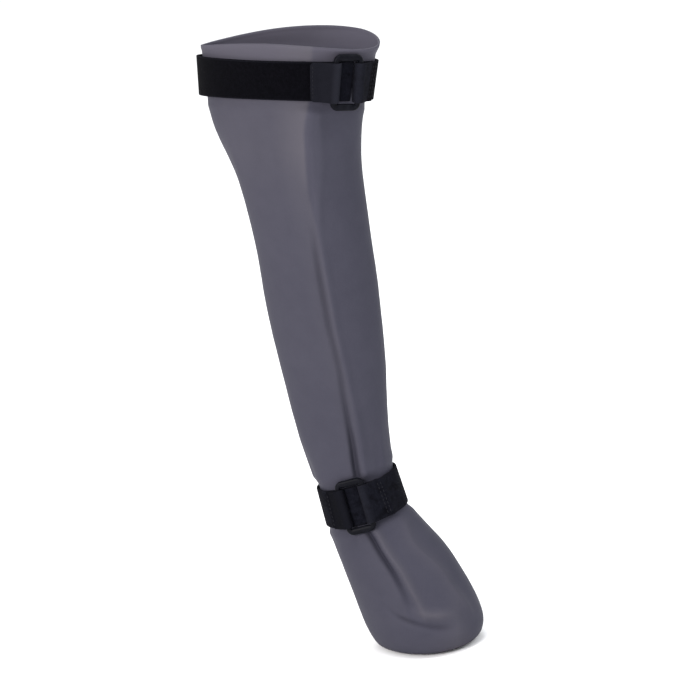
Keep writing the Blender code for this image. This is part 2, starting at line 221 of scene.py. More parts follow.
WEBBING = 1.6 * MM        # thickness
GAP = 0.3 * MM            # between webbing and what it lies on
PILE = 0.5 * MM           # the hooks and loops between two layers
STRAP_WIDTH = 26 * MM
SEWN_END = 19 * MM        # the band is doubled from its bar to here
CLIMB_START = 8 * MM      # it climbs onto its sewn end from this far before it
CLIMB_END = 1.5 * MM
END_START = 4 * MM        # the sewn end lies on the leg from this far in front of its bar
FLAP_END = 4.2 * MM       # the band's other end covers the leg under the buckle's opening, a dark flap that stands in for the shade there
TAB_SEAM = radians(-28)   # where the tab starts round its bar
TAB_CORNER = 2.0 * MM     # rounds the tab's two free corners
WRAP_HIGHLIGHT_AT = radians(60)   # a painted highlight is centred here round a bar, on the opening's side

BAR_RADIUS = 1.8 * MM
BAR_SPREAD = 7.5 * MM     # of a long bar from the buckle's middle
BAR_SQUARENESS = 0.8      # this power flattens the sides of a bar's round section
BAR_FILL = 0.97
BAR_POINTS = 20
BUCKLE_HALF_HEIGHT = 16.7 * MM
BUCKLE_CORNER = 3.0 * MM
CORNER_POINTS = 9
SHORT_BAR_EXTRA = 0.62    # of a bar's half thickness

Strap = namedtuple("Strap", "name x z lean side_lean buckle_turn slack follow tab_end lint")
# The last field makes a band lighter and a hook tab darker, painted shade, on the ankle's strap.
STRAPS = [
    Strap(name="collar", x=-6 * MM, z=390.5 * MM, lean=radians(5.5), side_lean=radians(11),
          buckle_turn=radians(20), slack=2 * MM, follow=0.5, tab_end=22 * MM, lint=0.0),
    Strap(name="ankle", x=-7 * MM, z=104.5 * MM, lean=radians(-7.5), side_lean=radians(-3),
          buckle_turn=radians(66), slack=0, follow=1.0, tab_end=19 * MM, lint=0.85),
]
LOOP_POINTS = 240
LEVELS_ACROSS = 7
BEYOND_LEG = 100 * MM     # no part of the leg is this far from a strap's middle
HALVINGS = 24
PATH_STEP = 1.1 * MM
ROWS_ACROSS = 18
EDGE_ROUNDING = 0.55 * MM
EDGE_SEGMENTS = 3
EDGE_ANGLE = radians(60)
PRESSED_MARGIN = 0.5 * MM     # the sock stays flat this far beyond a strap's edges
PRESSED_FADE = 7 * MM
UNDER_STRAP = 0.25 * MM       # how far a strap sinks the soft wall

FIRST_LAYER = GAP + WEBBING / 2
SECOND_LAYER = FIRST_LAYER + WEBBING + PILE
WRAP_RADIUS = BAR_RADIUS + GAP + WEBBING / 2
BAR_HEIGHT = FIRST_LAYER + WRAP_RADIUS
LAYER_MEETS = 16 * MM     # from the buckle's middle to where a wrap comes down
WRAP_STEPS = 22

STITCH_LENGTH = 2.1 * MM
STITCH_GAP = 0.6 * MM
STITCH_INSET = 2.0 * MM   # of a row's ends from the webbing's edges
BAND_SEAMS = (1.0 * MM, 3.0 * MM)   # in front of where the band's layers meet
TAB_HEM = 1.6 * MM        # from the tab's free end
THREAD_RADIUS = 0.28 * MM
THREAD_SIDES = 8
THREAD_RINGS = 5


# ---- materials -----------------------------------------------------------------------------

COLOUR_A, COLOUR_B, COLOUR_RESULT = 6, 7, 2   # the Mix node's sockets for colours


class Value:
    """A socket that gives a number, with Python's operators for its Math nodes."""

    def __init__(self, finish, socket):
        self.finish = finish
        self.socket = socket

    def maths(self, operation, *values):
        return self.finish.node("ShaderNodeMath", {"operation": operation}, dict(enumerate(values)))

    def __add__(self, other):
        return self.maths("ADD", self, other)

    def __radd__(self, other):
        return self.maths("ADD", other, self)

    def __sub__(self, other):
        return self.maths("SUBTRACT", self, other)

    def __rsub__(self, other):
        return self.maths("SUBTRACT", other, self)

    def __mul__(self, other):
        return self.maths("MULTIPLY", self, other)

    def __rmul__(self, other):
        return self.maths("MULTIPLY", other, self)

    def __truediv__(self, other):
        return self.maths("DIVIDE", self, other)

    def sine(self):
        return self.maths("SINE", self)

    def size(self):
        return self.maths("ABSOLUTE", self)

    def between(self, low, high):
        """0 below low and 1 above high."""
        return self.finish.node(
            "ShaderNodeMapRange",
            {"interpolation_type": "SMOOTHSTEP"},
            {"Value": self, "From Min": low, "From Max": high},
        )


class MaterialBuilder:
    """A Principled material, with one method that adds any other node."""

    def __init__(self, name, **constants):
        self.material = bpy.data.materials.new(name)
        self.material.use_nodes = True
        self.tree = self.material.node_tree
        self.shader = self.tree.nodes["Principled BSDF"]
        for socket, value in constants.items():
            self.shader.inputs[socket.replace("_", " ")].default_value = value

    def node(self, kind, settings=None, sockets=None, output=0):
        made = self.tree.nodes.new(kind)
        for name, setting in (settings or {}).items():
            setattr(made, name, setting)
        for key, value in (sockets or {}).items():
            self.join(value, made.inputs[key])
        return Value(self, made.outputs[output])

    def join(self, value, socket):
        if isinstance(value, Value):
            self.tree.links.new(value.socket, socket)
        elif isinstance(value, tuple) and socket.type == "RGBA":
            socket.default_value = (*value[:3], 1.0)
        else:
            socket.default_value = value

    def shade(self, **values):
        for socket, value in values.items():
            self.join(value, self.shader.inputs[socket.replace("_", " ")])

    def place(self):
        return self.node("ShaderNodeTexCoord", output="Object")

    def webbing_place(self):
        """Distances along and across the webbing, in metres."""
        uv = self.node("ShaderNodeUVMap", {"uv_map": "webbing"})
        return [self.node("ShaderNodeSeparateXYZ", {}, {"Vector": uv}, output=axis)
                for axis in ("X", "Y")]

    def attribute(self, name):
        return self.node("ShaderNodeAttribute", {"attribute_name": name}, output="Fac")

    def mottle(self, where, size, detail=2.0, roughness=0.5):
        """Noise of a given grain size, from 0 to 1."""
        return self.node(
            "ShaderNodeTexNoise",
            {},
            {"Vector": where, "Scale": 1 / size, "Detail": detail, "Roughness": roughness},
        )

    def blend(self, share, first, second):
        return self.node(
            "ShaderNodeMix",
            {"data_type": "RGBA", "clamp_factor": True},
            {"Factor": share, COLOUR_A: first, COLOUR_B: second},
            output=COLOUR_RESULT,
        )

    def bump(self, height, depth):
        sockets = {"Height": height, "Distance": depth, "Strength": 1.0}
        return self.node("ShaderNodeBump", {}, sockets)


def silicone_finish():
    """Grey silicone rubber: satin, a little cloudy, with painted highlights on folds, edge and lit
    side, painted shade in grooves.
    """
    finish = MaterialBuilder("grey_silicone", Specular_IOR_Level=0.02)
    where = finish.place()
    clouds = finish.mottle(where, 60 * MM, detail=3.0)
    blotches = finish.mottle(where, 11 * MM, detail=4.0, roughness=0.6)
    grain = finish.mottle(where, 0.8 * MM, detail=2.0)
    fold, groove = finish.attribute("fold"), finish.attribute("groove")
    rim_highlight, painted_light = finish.attribute("rim_highlight"), finish.attribute("painted_light")
    tone = (clouds * 0.45 + blotches * 0.35 + grain * 0.20).between(0.25, 0.75)
    base = finish.blend(tone, (0.0377, 0.0370, 0.0510), (0.0455, 0.0445, 0.0600))
    # painted highlight: the wall is painted lighter where its folds stand out furthest, along the
    # blunt edge
    raised = finish.blend(fold.between(3.6, 5.4) * 0.16, base, (0.068, 0.066, 0.086))
    # painted shade: the grooves are painted darker, standing in for the shade in them
    groove_shaded = finish.blend(groove.between(-0.1, -2.4) * 0.6, raised, (0.012, 0.012, 0.019))
    # painted highlight: lighter towards the collar's edge
    pale = finish.blend(rim_highlight.between(0.0, 0.6) * 0.57, groove_shaded, (0.078, 0.073, 0.092))
    # painted light: the near side's lit panel and the folds' crests are painted lighter
    pale = finish.blend(painted_light * 0.55, pale, (0.084, 0.079, 0.091))
    finish.shade(
        Base_Color=pale,
        Roughness=0.46 + 0.10 * blotches - 0.05 * clouds,
        Normal=finish.bump(grain * 0.6 + blotches * 0.4, 0.10 * MM),
    )
    return finish.material


def loop_finish():
    """Brushed loop webbing: near black, soft and fuzzy, with a ribbed backing under the pile."""
    finish = MaterialBuilder("loop_webbing", Specular_IOR_Level=0.02, Sheen_Weight=0.008,
                             Sheen_Roughness=0.5)
    along, across = finish.webbing_place()
    where = finish.place()
    pile = finish.mottle(where, 0.55 * MM, detail=3.0, roughness=0.7)
    tufts = finish.mottle(where, 2.4 * MM, detail=2.0)
    ribs = (along * (2 * pi / (1.5 * MM))).sine() * 0.5 + 0.5
    selvedge = (across / STRAP_WIDTH - 0.5).size().between(0.455, 0.475)
    lint, rubbed = finish.attribute("lint"), finish.attribute("rubbed")
    drifts = finish.mottle(where, 5 * MM, detail=3.0, roughness=0.6)
    fuzz = (pile * 0.7 + tufts * 0.3).between(0.35, 0.8)
    clean = finish.blend(fuzz, (0.0008, 0.0008, 0.0014), (0.0032, 0.0030, 0.0048))
    lighter_tone = finish.blend(fuzz, (0.0034, 0.0036, 0.0060), (0.0090, 0.0094, 0.0140))
    # lighter where the share says: on the ankle's band, on the doubled end, and under the buckle,
    # where it tunes the flap that stands in for shade
    colour = finish.blend(lint * drifts.between(0.2, 0.6), clean, lighter_tone)
    colour = finish.blend(selvedge * 0.6, colour, (0.0050, 0.0050, 0.0075))
    # painted highlight where the webbing goes round a bar
    colour = finish.blend(rubbed * 0.35, colour, (0.0150, 0.0155, 0.0215))
    finish.shade(
        Base_Color=colour,
        Roughness=0.85 + 0.10 * tufts,
        Normal=finish.bump(pile * 0.75 + tufts * 0.5 + ribs * 0.12, 0.35 * MM),
    )
    return finish.material


def hook_finish():
    """The woven back of hook tape: charcoal, with fine crossing threads, painted darker as shade on
    the ankle's tab.
    """
    finish = MaterialBuilder("hook_webbing", Specular_IOR_Level=0.01, Sheen_Weight=0.003,
                             Sheen_Roughness=0.5)
    along, across = finish.webbing_place()
    where = finish.place()
    warp = (across * (2 * pi / (1.1 * MM))).sine()
    weft = (along * (2 * pi / (1.3 * MM))).sine()
    weave = (warp * weft) * 0.5 + 0.5
    wear = finish.mottle(where, 5 * MM, detail=3.0)
    fuzz = finish.mottle(where, 0.4 * MM, detail=2.0)
    tone = (weave * 0.5 + wear * 0.3 + fuzz * 0.2).between(0.2, 0.8)
    lint, rubbed = finish.attribute("lint"), finish.attribute("rubbed")
    colour = finish.blend(tone, (0.0046, 0.0047, 0.0067), (0.0088, 0.0090, 0.0127))
    painted_shade_colour = finish.blend(tone, (0.0006, 0.0006, 0.0012), (0.0026, 0.0027, 0.0044))
    # painted shade: the ankle's tab is painted darker, as if shaded
    colour = finish.blend(lint * 0.9, colour, painted_shade_colour)
    # painted highlight where the tab goes round its bar, less on a tab painted darker
    colour = finish.blend(rubbed * (1 - 0.8 * lint) * 0.5, colour, (0.0190, 0.0195, 0.0265))
    finish.shade(
        Base_Color=colour,
        Roughness=0.62 + 0.15 * wear,
        Normal=finish.bump(weave * 0.7 + fuzz * 0.4, 0.22 * MM),
    )
    return finish.material


def buckle_finish():
    """Black moulded plastic with a fine spark-eroded grain and scattered paler scuffs."""
    finish = MaterialBuilder("buckle_plastic", Specular_IOR_Level=0.05)
    where = finish.place()
    grain = finish.mottle(where, 0.35 * MM, detail=2.0)
    scuffs = finish.mottle(where, 3 * MM, detail=4.0, roughness=0.7)
    colour = finish.blend(scuffs.between(0.45, 0.75), (0.0026, 0.0028, 0.0046),
                          (0.0062, 0.0065, 0.0098))
    finish.shade(
        Base_Color=colour,
        Roughness=0.34 + 0.16 * scuffs,
        Normal=finish.bump(grain, 0.03 * MM),
    )
    return finish.material


def thread_finish():
    """Charcoal sewing thread with a slight sheen and twisted strands."""
    finish = MaterialBuilder("sewing_thread", Specular_IOR_Level=0.15)
    where = finish.place()
    strands = finish.mottle(where, 0.25 * MM, detail=2.0)
    colour = finish.blend(strands, (0.0035, 0.0036, 0.006), (0.009, 0.009, 0.013))
    finish.shade(Base_Color=colour, Roughness=0.6 + 0.2 * strands,
                 Normal=finish.bump(strands, 0.08 * MM))
    return finish.material


def floor_finish():
    finish = MaterialBuilder("pale_floor", Roughness=0.9, Specular_IOR_Level=0.0)
    cloud = finish.mottle(finish.place(), 400 * MM)
    finish.shade(Base_Color=finish.blend(cloud, (0.93, 0.93, 0.93), (0.95, 0.95, 0.95)))
    return finish.material


# ---- objects -------------------------------------------------------------------------------


def add_piece(name, mesh, material):
    mesh.materials.append(material)
    piece = bpy.data.objects.new(name, mesh)
    bpy.context.scene.collection.objects.link(piece)
    mesh.shade_smooth()
    return piece


def mesh_from(bm, name):
    mesh = bpy.data.meshes.new(name)
    bm.to_mesh(mesh)
    bm.free()
    return mesh


def spread(start, end, count):
    return [start + (end - start) * i / (count - 1) for i in range(count)]


def ramp(values, start, length):
    """0 up to the start, and 1 from that length beyond it."""
    return np.clip((values - start) / length, 0, 1)


# ---- the leg form that the sock and the straps share ----------------------------------------


def section_at(z):
    """The outer skin's back, front, half width and toe bias at height z, smooth between rows."""
    height = z / MM
    last = len(SECTIONS) - 2
    below = sum(1 for section in SECTIONS[1:-1] if section.height <= height)
    below = min(below, last)
    low, high = SECTIONS[below], SECTIONS[below + 1]
    before = SECTIONS[max(below - 1, 0)]
    after = SECTIONS[min(below + 2, len(SECTIONS) - 1)]
    span = high.height - low.height
    t = (height - low.height) / span
    values = []
    for column in ("back", "front", "half_width", "toe_bias"):
        a, b = getattr(low, column), getattr(high, column)
        slope_a = (b - getattr(before, column)) / (high.height - before.height) * span
        slope_b = (getattr(after, column) - a) / (after.height - low.height) * span
        values.append(
            (2 * t**3 - 3 * t**2 + 1) * a
            + (t**3 - 2 * t**2 + t) * slope_a
            + (3 * t**2 - 2 * t**3) * b
            + (t**3 - t**2) * slope_b
        )
    back, front, half_width, toe_bias = values
    return back * MM, front * MM, half_width * MM, toe_bias


def flare_at(z, turn):
    """How far the collar's edge turns out beyond its section, on the far side of the front."""
    share = max(0.0, min(1.0, (z - FLARE_START) / (RIM_HEIGHT - FLARE_START)))
    return FLARE * share * max(0.0, cos(turn - FLARE_TURN)) ** 4


def skin_point(z, turn):
    """A point of the outer skin at height z. turn is 0 at the front and grows towards +Y."""
    back, front, half_width, toe_bias = section_at(z)
    x = (back + front) / 2 + (front - back) / 2 * cos(turn)
    y = half_width * sin(turn) * (1 + toe_bias * cos(turn))
    flare = flare_at(z, turn)
    return Vector((x + flare * cos(turn), y + flare * sin(turn), z))


def inside_skin(point):
    back, front, half_width, toe_bias = section_at(point.z)
    along = (point.x - (back + front) / 2) / ((front - back) / 2)
    across = point.y / (half_width * (1 + toe_bias * max(-1.0, min(1.0, along))))
    return hypot(along, across) < 1


def rim_height(turn):
    """Height of the collar's edge at a turn round it."""
    edge = skin_point(RIM_HEIGHT, turn)
    middle = (skin_point(RIM_HEIGHT, 0).x + skin_point(RIM_HEIGHT, pi).x) / 2
    drop = tan(RIM_SLOPE) * (edge.x - middle) + RIM_TWIST * sin(turn)
    return RIM_HEIGHT - drop + RIM_CROWN * sin(turn) ** 2


def stretch_to_rim(height, turn):
    """Moves a row near the collar so that the top row follows the sloping edge."""
    if height <= RIM_START:
        return height
    share = (height - RIM_START) / (RIM_HEIGHT - RIM_START)
    return RIM_START + share * (rim_height(turn) - RIM_START)


def wall_share(z):
    """1 where the wall has its foot thickness, 0 where it has its shaft thickness."""
    return max(0.0, min(1.0, (SHAFT_START - z) / (SHAFT_START - FOOT_TOP)))


# ---- sock ----------------------------------------------------------------------------------


def row_heights():
    heights = [height * MM for height in FIRST_ROWS]
    count = round((RIM_HEIGHT - heights[-1]) / ROW_STEP)
    return heights + spread(heights[-1], RIM_HEIGHT, count + 1)[1:]


def extrude_ring(bm, edges):
    made = bmesh.ops.extrude_edge_only(bm, edges=edges)["geom"]
    return [item for item in made if isinstance(item, bmesh.types.BMEdge)], [
        item for item in made if isinstance(item, bmesh.types.BMVert)
    ]


def lay_skin(bm):
    """Rings from the middle of the sole out to its edge, then up to the collar."""
    turn_of = bm.verts.layers.float.new("turn")
    height_of = bm.verts.layers.float.new("height")
    made = bmesh.ops.create_circle(bm, cap_ends=True, cap_tris=True, segments=COLUMNS, radius=1.0)
    ring = [vert for vert in made["verts"] if vert.is_boundary]
    for vert in ring:
        around = atan2(vert.co.y, vert.co.x)
        vert[turn_of] = around - CLOSENESS * sin(around - CLOSER_AT)
    edge_points = [skin_point(0.0, vert[turn_of]) for vert in ring]
    middle = sum(edge_points, Vector()) / COLUMNS
    for vert in made["verts"]:
        share = 1 / SOLE_RINGS if vert in ring else 0.0
        vert.co = middle.lerp(skin_point(0.0, vert[turn_of]), share)
    edges = [edge for edge in bm.edges if edge.is_boundary]
    for number in range(2, SOLE_RINGS + 1):
        edges, verts = extrude_ring(bm, edges)
        for vert in verts:
            vert.co = middle.lerp(skin_point(0.0, vert[turn_of]), number / SOLE_RINGS)
    for height in row_heights():
        edges, verts = extrude_ring(bm, edges)
        for vert in verts:
            vert[height_of] = height
            vert.co = skin_point(stretch_to_rim(height, vert[turn_of]), vert[turn_of])
    bmesh.ops.recalc_face_normals(bm, faces=bm.faces)
    return turn_of, height_of


def fold_line(fold, per_part=6):
    """Points over the skin with a half width and a lift, smooth between the fold's own points."""
    rows = [fold.points[0], *fold.points, fold.points[-1]]
    line = []
    for before, low, high, after in zip(rows, rows[1:], rows[2:], rows[3:]):
        for step in range(per_part):
            t = step / per_part
            row = []
            for a, b, c, d in zip(before, low, high, after):
                row.append(0.5 * (2 * b + (c - a) * t + (2 * a - 5 * b + 4 * c - d) * t**2
                                  + (3 * b - a - 3 * c + d) * t**3))
            line.append(row)
    line.append(fold.points[-1])
    places = np.array([skin_point(height * MM, radians(turn)) for height, turn, _, _ in line])
    widths = np.array([width * MM for _, _, width, _ in line])
    lifts = np.array([lift * MM for _, _, _, lift in line])
    return places, widths, lifts


def fold_relief(places, fold):
    """How far a fold moves each place outwards, by its distance from the fold's line."""
    line, widths, lifts = fold_line(fold)
    nearest = np.full(len(places), 1.0)
    width = np.full(len(places), 1.0)
    lift = np.zeros(len(places))
    for i in range(len(line) - 1):
        along = line[i + 1] - line[i]
        share = np.clip(((places - line[i]) @ along) / (along @ along), 0, 1)
        offset = places - line[i] - share[:, None] * along
        away = np.linalg.norm(offset, axis=1)
        closer = away < nearest
        nearest[closer] = away[closer]
        side = np.where(offset[:, 0] > 0, fold.front_spread, 1.0)
        width[closer] = (side * (widths[i] + share * (widths[i + 1] - widths[i])))[closer]
        lift[closer] = (lifts[i] + share * (lifts[i + 1] - lifts[i]))[closer]
    if fold.crest:
        away = np.sqrt(nearest**2 + CREST_ROUNDING**2) - CREST_ROUNDING
        return lift * np.clip(1 - away / width, 0, 1) ** 2
    return lift * np.exp(-(nearest / width) ** 2)


def strap_press(places):
    """1 on the free skin and 0 under a strap, and how far the wall rolls out beside the straps."""
    share = np.ones(len(places))
    roll = np.zeros(len(places))
    for strap in STRAPS:
        axis = np.array((tan(strap.lean), tan(strap.side_lean), 1.0))
        axis /= np.linalg.norm(axis)
        centre = np.array((strap.x, 0.0, strap.z))
        beyond = np.abs((places - centre) @ axis) - STRAP_WIDTH / 2 - PRESSED_MARGIN
        free = ramp(beyond, 0, PRESSED_FADE)
        share = np.minimum(share, free * free * (3 - 2 * free))
        roll += STRAP_ROLL * np.exp(-((beyond - STRAP_ROLL_AT) / STRAP_ROLL_WIDTH) ** 2)
    return share, roll


def wall_relief(places, heights):
    """The soft wall's relief, how deep its grooves are (for their painted shade), and how much
    painted highlight its folds get.

    The relief adds up folds, slow swells, small dimples, the roll beside a strap and the bead.
    """
    grooves = np.zeros(len(places))
    relief = np.zeros(len(places))
    pale = np.zeros(len(places))
    for fold in FOLDS:
        lift = fold_relief(places, fold)
        relief += lift
        pale += fold.pale * lift / MM
        if not fold.crest:
            grooves += lift
    for i, place in enumerate(places):
        point = Vector(place)
        relief[i] += SWELLS * noise.noise(point / SWELL_LENGTH)
        relief[i] += DIMPLES * noise.noise(point / DIMPLE_LENGTH)
    free, roll = strap_press(places)
    relief = (relief + roll) * free - UNDER_STRAP * (1 - free)
    standing = ramp(places[:, 2], STANDING_FROM, STANDING_RISE)
    bead = np.exp(-((heights - RIM_HEIGHT + RIM_BEAD_WIDTH) / RIM_BEAD_WIDTH) ** 2)
    return relief * standing + RIM_BEAD * bead, grooves * free * standing, pale * free


def painted_light_share(heights, turns):
    """How much painted light the wall gets behind the near side's edge, from 0 to 1."""
    rows = [row.height * MM for row in PAINTED_LIGHT_ROWS]
    edge = np.interp(heights, rows, [row.turn for row in PAINTED_LIGHT_ROWS])
    share = np.interp(heights, rows, [row.share for row in PAINTED_LIGHT_ROWS])
    share *= ramp(heights, rows[0], PAINTED_LIGHT_RISE)
    back = edge - np.degrees(turns)
    begun = ramp(back, 0, PAINTED_LIGHT_START)
    beyond = ramp(back, PAINTED_LIGHT_TURN, PAINTED_LIGHT_FADE)
    gone = ramp(back, PAINTED_LIGHT_END, PAINTED_LIGHT_OUT)
    return share * begun * (1 - (1 - PAINTED_LIGHT_BEYOND) * beyond) * (1 - gone)


def make_sock(material):
    bm = bmesh.new()
    turn_of, height_of = lay_skin(bm)
    bm.normal_update()
    verts = list(bm.verts)
    places = np.array([vert.co for vert in verts])
    heights = np.array([vert[height_of] for vert in verts])
    turns = np.array([vert[turn_of] for vert in verts])
    relief, grooves, pale = wall_relief(places, heights)
    normals = [vert.normal.copy() for vert in verts]
    for vert, normal, lift in zip(verts, normals, relief):
        vert.co += normal * float(lift)
    walls = [wall_share(vert.co.z) for vert in verts]
    sock = add_piece("silicone_sock", mesh_from(bm, "silicone_sock"), material)
    # shares that the material paints with: the relief gives the blunt edge its painted highlight,
    # the grooves their painted shade, and the collar's edge and the near side's lit panel their
    # painted light
    rim_highlight = np.clip(1 - (RIM_HEIGHT - heights) / RIM_HIGHLIGHT_REACH, 0, 1)
    turns = np.where(turns > FAR_TURN, turns - 2 * pi, turns)
    shares = {"fold": relief / MM, "groove": grooves / MM, "rim_highlight": rim_highlight,
              "painted_light": painted_light_share(heights, turns) + pale}
    for attribute, values in shares.items():
        layer = sock.data.attributes.new(attribute, "FLOAT", "POINT")
        layer.data.foreach_set("value", values.astype(np.float32))
    group = sock.vertex_groups.new(name="foot_wall")
    for index, share in enumerate(walls):
        group.add([index], share, "REPLACE")
    wall = sock.modifiers.new("wall", "SOLIDIFY")
    wall.thickness = FOOT_WALL
    wall.offset = -1
    wall.use_even_offset = True
    wall.vertex_group = group.name
    wall.thickness_vertex_group = SHAFT_WALL / FOOT_WALL
    return sock


# ---- straps --------------------------------------------------------------------------------


class StrapLoop:
    """The line that a strap's middle lies on round the leg, with the webbing's way up there.

    It starts under the middle of the buckle, and distance along it grows towards the front.
    """

    def __init__(self, strap):
        self.axis = Vector((tan(strap.lean), tan(strap.side_lean), 1)).normalized()
        self.forward = Vector((1, 0, -tan(strap.lean))).normalized()
        self.near = self.forward.cross(self.axis)
        self.centre = Vector((strap.x, 0, strap.z))
        self.points = []
        self.ups = []
        for i in range(LOOP_POINTS):
            turn = strap.buckle_turn - 2 * pi * i / LOOP_POINTS
            out = self.forward * cos(turn) + self.near * sin(turn)
            levels = spread(-STRAP_WIDTH / 2, STRAP_WIDTH / 2, LEVELS_ACROSS)
            reaches = [self.leg_reach(out, level) for level in levels]
            follow = strap.follow * cos(turn) ** 2 + sin(turn) ** 2
            slope = (reaches[-1] - reaches[0]) / STRAP_WIDTH * follow
            reach = max(reach - slope * level for reach, level in zip(reaches, levels))
            reach += strap.slack * ((1 - cos(turn)) / 2) ** 2
            self.points.append(self.centre + out * reach)
            self.ups.append(self.axis + out * slope)
        self.starts = [0.0]
        for here, there in zip(self.points, self.points[1:] + self.points[:1]):
            self.starts.append(self.starts[-1] + (there - here).length)
        self.length = self.starts[-1]
        self.place_bars()

    def leg_reach(self, out, level):
        """How far the leg form comes out this way, at a level above the strap's middle."""
        near, far = 0.0, BEYOND_LEG
        for _ in range(HALVINGS):
            reach = (near + far) / 2
            if inside_skin(self.centre + self.axis * level + out * reach):
                near = reach
            else:
                far = reach
        return near

    def directions(self, distance):
        """The point at a distance along the loop, with the tangent, the way up and the way out."""
        distance %= self.length
        i = sum(1 for start in self.starts[1:-1] if start <= distance)
        following = (i + 1) % LOOP_POINTS
        here, there = self.points[i], self.points[following]
        share = (distance - self.starts[i]) / (self.starts[i + 1] - self.starts[i])
        before = self.points[i - 1]
        after = self.points[(i + 2) % LOOP_POINTS]
        tangent = (there - before).normalized().lerp((after - here).normalized(), share)
        tangent.normalize()
        up = self.ups[i].lerp(self.ups[following], share)
        up = (up - tangent * up.dot(tangent)).normalized()
        return here.lerp(there, share), tangent, up, tangent.cross(up)

    def lifted(self, distance, height):
        """The webbing's lower and upper edges at a distance, raised off the leg."""
        point, _, up, out = self.directions(distance)
        middle = point + out * height
        return middle - up * (STRAP_WIDTH / 2), middle + up * (STRAP_WIDTH / 2)

    def place_bars(self):
        """The middles of the buckle's two long bars, and the one way up that both bars share."""
        self.bars = {}
        ups = Vector()
        for side in (-1, 1):
            point, _, up, out = self.directions(side * BAR_SPREAD)
            self.bars[side] = point + out * BAR_HEIGHT
            ups += up
        self.across = (self.bars[1] - self.bars[-1]).normalized()
        self.bar_up = (ups - self.across * ups.dot(self.across)).normalized()

    def around_bar(self, side, angle):
        """Both edges of the webbing round a long bar. angle 0 faces the front, pi/2 out."""
        _, tangent, _, out = self.directions(side * BAR_SPREAD)
        way = tangent * cos(angle) + out * sin(angle)
        way = (way - self.bar_up * way.dot(self.bar_up)).normalized()
        middle = self.bars[side] + way * WRAP_RADIUS
        half = self.bar_up * (STRAP_WIDTH / 2)
        return middle - half, middle + half


def leave_angle():
    """Where a wrap leaves its bar in a straight line down to the layer that it meets."""
    along = LAYER_MEETS - BAR_SPREAD
    down = BAR_HEIGHT - SECOND_LAYER
    return acos(WRAP_RADIUS / hypot(along, down)) - atan2(down, along)


def steps_between(start, end):
    return spread(start, end, max(2, round(abs(end - start) / PATH_STEP)))


def ease_over(low, high, count):
    """Pairs of edges on the straight run between two pairs, ends left out."""
    return [tuple(a.lerp(b, i / count) for a, b in zip(low, high)) for i in range(1, count)]


def band_path(strap, loop):
    """From under the buckle, once round the leg, over the front bar and back beneath it.

    With it goes, at each pair, how much lighter the band is and how much painted highlight it
    gets: lighter under the buckle, where its flap stands in for the shade in the buckle's opening,
    and where it is doubled, with a painted highlight where it goes over the bar.
    """
    around = steps_between(FLAP_END, SEWN_END + CLIMB_START - loop.length)
    path = [loop.lifted(s, FIRST_LAYER) for s in around]
    climb = [loop.lifted(s, SECOND_LAYER) for s in (SEWN_END + CLIMB_END, LAYER_MEETS)]
    turns = spread(leave_angle(), 1.5 * pi, WRAP_STEPS)
    wrap = [loop.around_bar(1, turn) for turn in turns]
    path += ease_over(path[-1], climb[0], 6)
    path.append(climb[0])
    path += ease_over(climb[0], climb[1], 4) + [climb[1]]
    # lighter under the buckle, which sets the tone of the flap that stands in for the shade in the
    # buckle's opening
    lint = [1.0 if abs(s) < BAR_SPREAD else strap.lint for s in around]
    lint += [strap.lint] * (len(path) - len(lint))
    path += ease_over(climb[1], wrap[0], 7)
    # painted highlight round the front bar
    rubbed = [0.0] * len(path) + [max(0, cos(turn - pi + WRAP_HIGHLIGHT_AT)) ** 2 for turn in turns]
    path += wrap
    under = steps_between(BAR_SPREAD + END_START, SEWN_END)
    ends = [loop.lifted(s, FIRST_LAYER) for s in under]
    path += ease_over(wrap[-1], ends[0], 4) + ends
    lint += [1.0] * (len(path) - len(lint))
    rubbed += [0.0] * (len(path) - len(rubbed))
    return path, {"lint": lint, "rubbed": rubbed}


def tab_path(strap, loop):
    """From inside the buckle, over the back bar and down onto the band, with its painted shade
    share and its painted highlight.
    """
    turns = spread(TAB_SEAM, pi - leave_angle(), WRAP_STEPS)
    path = [loop.around_bar(-1, turn) for turn in turns]
    flat = [loop.lifted(-s, SECOND_LAYER) for s in steps_between(LAYER_MEETS, strap.tab_end)]
    # painted highlight round the back bar
    rubbed = [max(0, cos(turn - WRAP_HIGHLIGHT_AT)) ** 2 for turn in turns]
    path += ease_over(path[-1], flat[0], 7) + flat
    rubbed += [0.0] * (len(path) - len(rubbed))
    return path, {"lint": [strap.lint] * len(path), "rubbed": rubbed}


